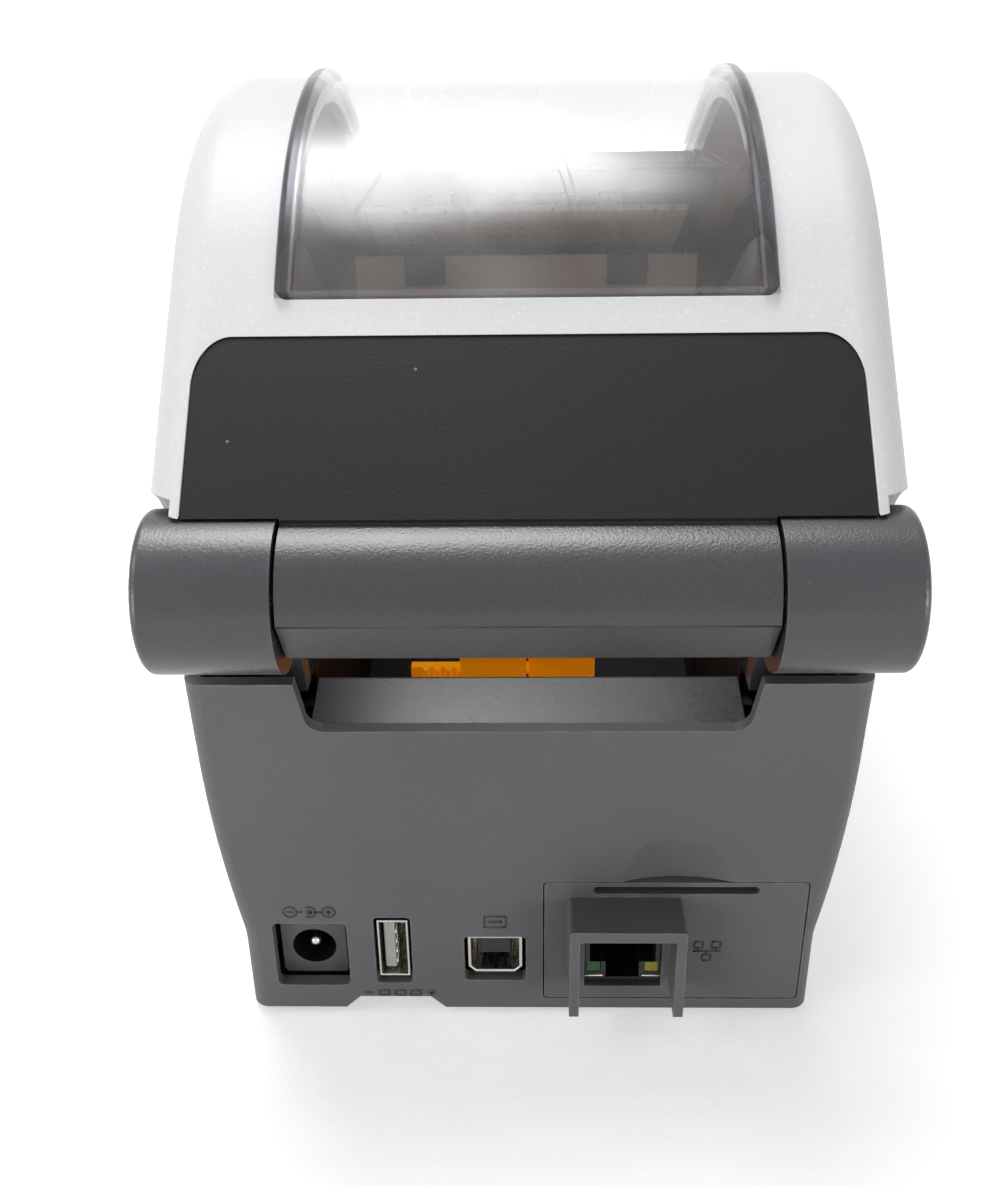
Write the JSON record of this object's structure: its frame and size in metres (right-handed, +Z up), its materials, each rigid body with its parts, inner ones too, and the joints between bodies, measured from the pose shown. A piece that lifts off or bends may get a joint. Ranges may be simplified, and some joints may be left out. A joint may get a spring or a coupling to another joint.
{
  "type": "thermal label printer",
  "caption": "Compact desktop direct thermal label printer with a clear-topped lid hinged at the back, roll guides, platen drive, side latches, keys and rear ports.",
  "frame": {"origin": "on the table, under the middle of the whole outline", "axes": "+Z up, the label exit faces -Y, the port wall and lid hinge face +Y"},
  "size_m": [0.115, 0.22, 0.1553],
  "materials": {
    "dark_plastic": "fine matte texture",
    "panel_plastic": "satin",
    "white_plastic": "satin gloss",
    "clear_plastic": "clear, polished",
    "amber_plastic": "translucent amber",
    "black_plastic": "matte",
    "rubber": "matte",
    "steel": "satin",
    "nickel": "nickel plated",
    "aluminium": "as extruded",
    "board": "solder mask",
    "ceramic": "glazed ceramic",
    "gear_plastic": "natural acetal",
    "light_pipe": "clear milky",
    "led_green": "tinted lens",
    "led_yellow": "tinted lens"
  },
  "bodies": {
    "base": {"base_housing": "dark_plastic", "bottom_cover": "dark_plastic", "rubber_feet": "rubber", "cover_screws": "steel", "front_bezel": "dark_plastic", "chassis": "dark_plastic", "fanfold_ramp": "dark_plastic", "hinge_pins": "steel", "platen_bearings": "gear_plastic", "stepper_motor": "steel", "motor_bracket": "steel", "guide_rail": "steel", "sensor_rail": "steel", "main_board": "board", "dc_jack": "black_plastic", "dc_pin": "nickel", "usb_host_port": "nickel", "usb_host_tongue": "black_plastic", "usb_device_port": "nickel", "usb_device_tongue": "black_plastic", "module_door": "dark_plastic", "module_board": "board", "led_green": "led_green", "led_yellow": "led_yellow", "network_jack": "black_plastic"},
    "lid": {"lid_shell": "white_plastic", "lid_frame": "panel_plastic", "window": "clear_plastic", "control_panel": "panel_plastic", "indicator_lights": "light_pipe", "key_board": "board", "head_pivot_pin": "steel", "tear_bar": "steel", "latch_pins": "steel", "head_beam": "steel", "head_spring_caps": "black_plastic"},
    "print_head": {"thermal_head": "ceramic", "heat_sink": "aluminium", "head_bracket": "steel", "head_springs": "steel"},
    "platen": {"platen_roller": "rubber", "platen_shaft": "steel", "platen_gear": "gear_plastic"},
    "idler": {"idler_gear": "gear_plastic"},
    "motor_rotor": {"motor_pinion": "gear_plastic", "motor_shaft": "steel"},
    "right_guide": {"guide_right": "amber_plastic"},
    "left_guide": {"guide_left": "amber_plastic"},
    "rack_pinion": {"guide_pinion": "gear_plastic"},
    "sensor": {"media_sensor": "black_plastic"},
    "latch": {"latch_right": "dark_plastic", "latch_left": "dark_plastic", "latch_shaft": "steel"},
    "feed_key": {"feed_button": "dark_plastic"},
    "pause_key": {"pause_button": "dark_plastic"},
    "cancel_key": {"cancel_button": "dark_plastic"},
    "power_key": {"power_button": "dark_plastic"}
  },
  "joints": [
    {"name": "lid_hinge", "type": "hinge", "parent": "base", "child": "lid", "pos_m": [0, 0.098, 0.0936], "axis": [-1, 0, 0], "range_deg": [0, 95]},
    {"name": "head_pivot", "type": "hinge", "parent": "lid", "child": "print_head", "pos_m": [0, -0.074, 0.079], "axis": [-1, 0, 0], "range_deg": [0, 2.5], "stiffness_Nm_per_rad": 2, "springref_deg": -5.73, "deforming": ["head_springs"]},
    {"name": "platen_spin", "type": "hinge", "parent": "base", "child": "platen", "pos_m": [0, -0.086, 0.064], "axis": [1, 0, 0], "continuous": true},
    {"name": "idler_spin", "type": "hinge", "parent": "base", "child": "idler", "pos_m": [0.041, -0.07717, 0.04341], "axis": [1, 0, 0], "continuous": true},
    {"name": "motor_spin", "type": "hinge", "parent": "base", "child": "motor_rotor", "pos_m": [0.03, -0.062, 0.033], "axis": [1, 0, 0], "continuous": true},
    {"name": "guide_right_slide", "type": "slide", "parent": "base", "child": "right_guide", "axis": [1, 0, 0], "range_m": [0, 0.0215], "stiffness_N_per_m": 60, "springref_m": -0.015},
    {"name": "guide_left_slide", "type": "slide", "parent": "base", "child": "left_guide", "axis": [-1, 0, 0], "range_m": [0, 0.0215]},
    {"name": "guide_pinion_spin", "type": "hinge", "parent": "base", "child": "rack_pinion", "pos_m": [0, 0.02, 0.0276], "axis": [0, 0, -1], "range_deg": [-4, 262]},
    {"name": "sensor_slide", "type": "slide", "parent": "base", "child": "sensor", "axis": [1, 0, 0], "range_m": [-0.022, 0.022]},
    {"name": "latch_turn", "type": "hinge", "parent": "base", "child": "latch", "pos_m": [0, -0.05, 0.054], "axis": [1, 0, 0], "range_deg": [0, 10], "stiffness_Nm_per_rad": 0.4, "springref_deg": -11.46},
    {"name": "feed_press", "type": "slide", "parent": "lid", "child": "feed_key", "axis": [0, 0.4695, -0.8829], "range_m": [0, 0.0008], "stiffness_N_per_m": 500, "springref_m": -0.001},
    {"name": "pause_press", "type": "slide", "parent": "lid", "child": "pause_key", "axis": [0, 0.4695, -0.8829], "range_m": [0, 0.0008], "stiffness_N_per_m": 500, "springref_m": -0.001},
    {"name": "cancel_press", "type": "slide", "parent": "lid", "child": "cancel_key", "axis": [0, 0.4695, -0.8829], "range_m": [0, 0.0008], "stiffness_N_per_m": 500, "springref_m": -0.001},
    {"name": "power_press", "type": "slide", "parent": "lid", "child": "power_key", "axis": [0, 0.4695, -0.8829], "range_m": [0, 0.0008], "stiffness_N_per_m": 500, "springref_m": -0.001}
  ],
  "couplings": [
    {"joint": "idler_spin", "follows": "platen_spin", "ratio": -0.64706},
    {"joint": "motor_spin", "follows": "platen_spin", "ratio": 1.8333},
    {"joint": "guide_left_slide", "follows": "guide_right_slide", "ratio": 1},
    {"joint": "guide_pinion_spin", "follows": "guide_right_slide", "rad_per_m": 208.33}
  ]
}
